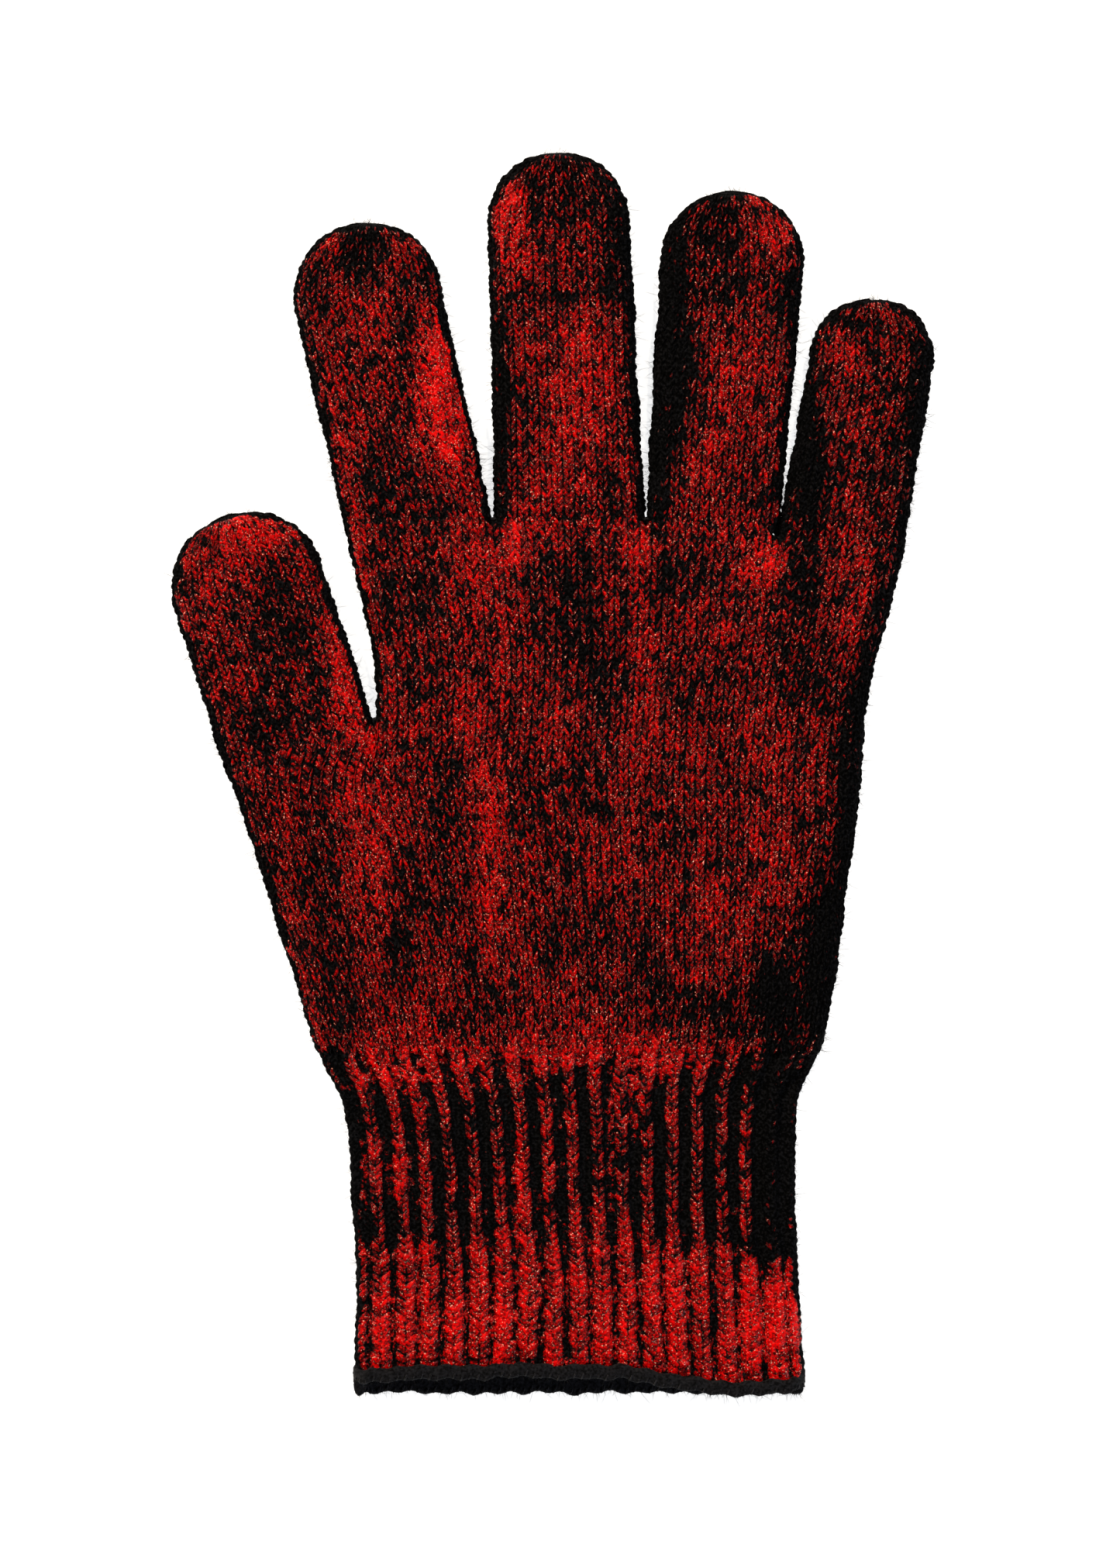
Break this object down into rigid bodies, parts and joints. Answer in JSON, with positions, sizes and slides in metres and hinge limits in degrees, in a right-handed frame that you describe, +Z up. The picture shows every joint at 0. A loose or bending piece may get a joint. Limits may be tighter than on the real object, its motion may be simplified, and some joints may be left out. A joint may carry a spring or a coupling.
{
  "type": "knitted glove",
  "caption": "Knitted five-finger glove with a long ribbed cuff, bending at every knuckle and at the wrist.",
  "frame": {"origin": "middle of the glove's footprint, on the surface it lies on", "axes": "+Y along the hand towards the fingertips, -X towards the thumb, +Z up out of the palm side"},
  "size_m": [0.1375, 0.225, 0.0092],
  "materials": {
    "painted_knit": "satin",
    "painted_rib": "satin",
    "black_hem": "matte",
    "overlock_yarn": "matte",
    "covered_elastic": "matte",
    "closing_yarn": "matte"
  },
  "bodies": {
    "hand": {"hand_tube": "painted_knit", "crotch_stitches": "closing_yarn"},
    "cuff": {"cuff_rib": "painted_rib", "cuff_hem": "black_hem", "overlock_thread": "overlock_yarn", "elastic_threads": "covered_elastic"},
    "index_proximal": {"index_proximal": "painted_knit"},
    "index_middle": {"index_middle": "painted_knit"},
    "index_end": {"index_end": "painted_knit", "index_tip_seam": "closing_yarn"},
    "middle_proximal": {"middle_proximal": "painted_knit"},
    "middle_middle": {"middle_middle": "painted_knit"},
    "middle_end": {"middle_end": "painted_knit", "middle_tip_seam": "closing_yarn"},
    "ring_proximal": {"ring_proximal": "painted_knit"},
    "ring_middle": {"ring_middle": "painted_knit"},
    "ring_end": {"ring_end": "painted_knit", "ring_tip_seam": "closing_yarn"},
    "little_proximal": {"little_proximal": "painted_knit"},
    "little_middle": {"little_middle": "painted_knit"},
    "little_end": {"little_end": "painted_knit", "little_tip_seam": "closing_yarn"},
    "thumb_base": {"thumb_base": "painted_knit"},
    "thumb_end": {"thumb_end": "painted_knit", "thumb_tip_seam": "closing_yarn"}
  },
  "joints": [
    {"name": "wrist_fold", "type": "hinge", "parent": "hand", "child": "cuff", "pos_m": [0.0028, -0.0505, 0.0085], "axis": [-1, 0, 0], "range_deg": [0, 80]},
    {"name": "index_knuckle", "type": "hinge", "parent": "hand", "child": "index_proximal", "pos_m": [-0.0242, 0.0467, 0.0085], "axis": [1, 0, 0], "range_deg": [0, 85]},
    {"name": "index_middle_joint", "type": "hinge", "parent": "index_proximal", "child": "index_middle", "pos_m": [-0.02848, 0.06582, 0.0085], "axis": [1, 0, 0], "range_deg": [0, 95]},
    {"name": "index_end_joint", "type": "hinge", "parent": "index_middle", "child": "index_end", "pos_m": [-0.03205, 0.08175, 0.0085], "axis": [1, 0, 0], "range_deg": [0, 65]},
    {"name": "middle_knuckle", "type": "hinge", "parent": "hand", "child": "middle_proximal", "pos_m": [0.0033, 0.0467, 0.0085], "axis": [1, 0, 0], "range_deg": [0, 85]},
    {"name": "middle_middle_joint", "type": "hinge", "parent": "middle_proximal", "child": "middle_middle", "pos_m": [0.00241, 0.07039, 0.0085], "axis": [1, 0, 0], "range_deg": [0, 95]},
    {"name": "middle_end_joint", "type": "hinge", "parent": "middle_middle", "child": "middle_end", "pos_m": [0.00166, 0.09013, 0.0085], "axis": [1, 0, 0], "range_deg": [0, 65]},
    {"name": "ring_knuckle", "type": "hinge", "parent": "hand", "child": "ring_proximal", "pos_m": [0.0291, 0.0467, 0.0085], "axis": [1, 0, 0], "range_deg": [0, 85]},
    {"name": "ring_middle_joint", "type": "hinge", "parent": "ring_proximal", "child": "ring_middle", "pos_m": [0.0307, 0.06783, 0.0085], "axis": [1, 0, 0], "range_deg": [0, 95]},
    {"name": "ring_end_joint", "type": "hinge", "parent": "ring_middle", "child": "ring_end", "pos_m": [0.03204, 0.08544, 0.0085], "axis": [1, 0, 0], "range_deg": [0, 65]},
    {"name": "little_knuckle", "type": "hinge", "parent": "hand", "child": "little_proximal", "pos_m": [0.0522, 0.0432, 0.0085], "axis": [1, 0, 0], "range_deg": [0, 85]},
    {"name": "little_middle_joint", "type": "hinge", "parent": "little_proximal", "child": "little_middle", "pos_m": [0.05491, 0.05861, 0.0085], "axis": [1, 0, 0], "range_deg": [0, 95]},
    {"name": "little_end_joint", "type": "hinge", "parent": "little_middle", "child": "little_end", "pos_m": [0.05717, 0.07145, 0.0085], "axis": [1, 0, 0], "range_deg": [0, 65]},
    {"name": "thumb_root", "type": "hinge", "parent": "hand", "child": "thumb_base", "pos_m": [-0.04503, 0.00632, 0.0085], "axis": [0.9521, 0.3057, 0], "range_deg": [0, 95]},
    {"name": "thumb_joint", "type": "hinge", "parent": "thumb_base", "child": "thumb_end", "pos_m": [-0.05143, 0.02626, 0.0085], "axis": [0.9521, 0.3057, 0], "range_deg": [0, 70]}
  ]
}
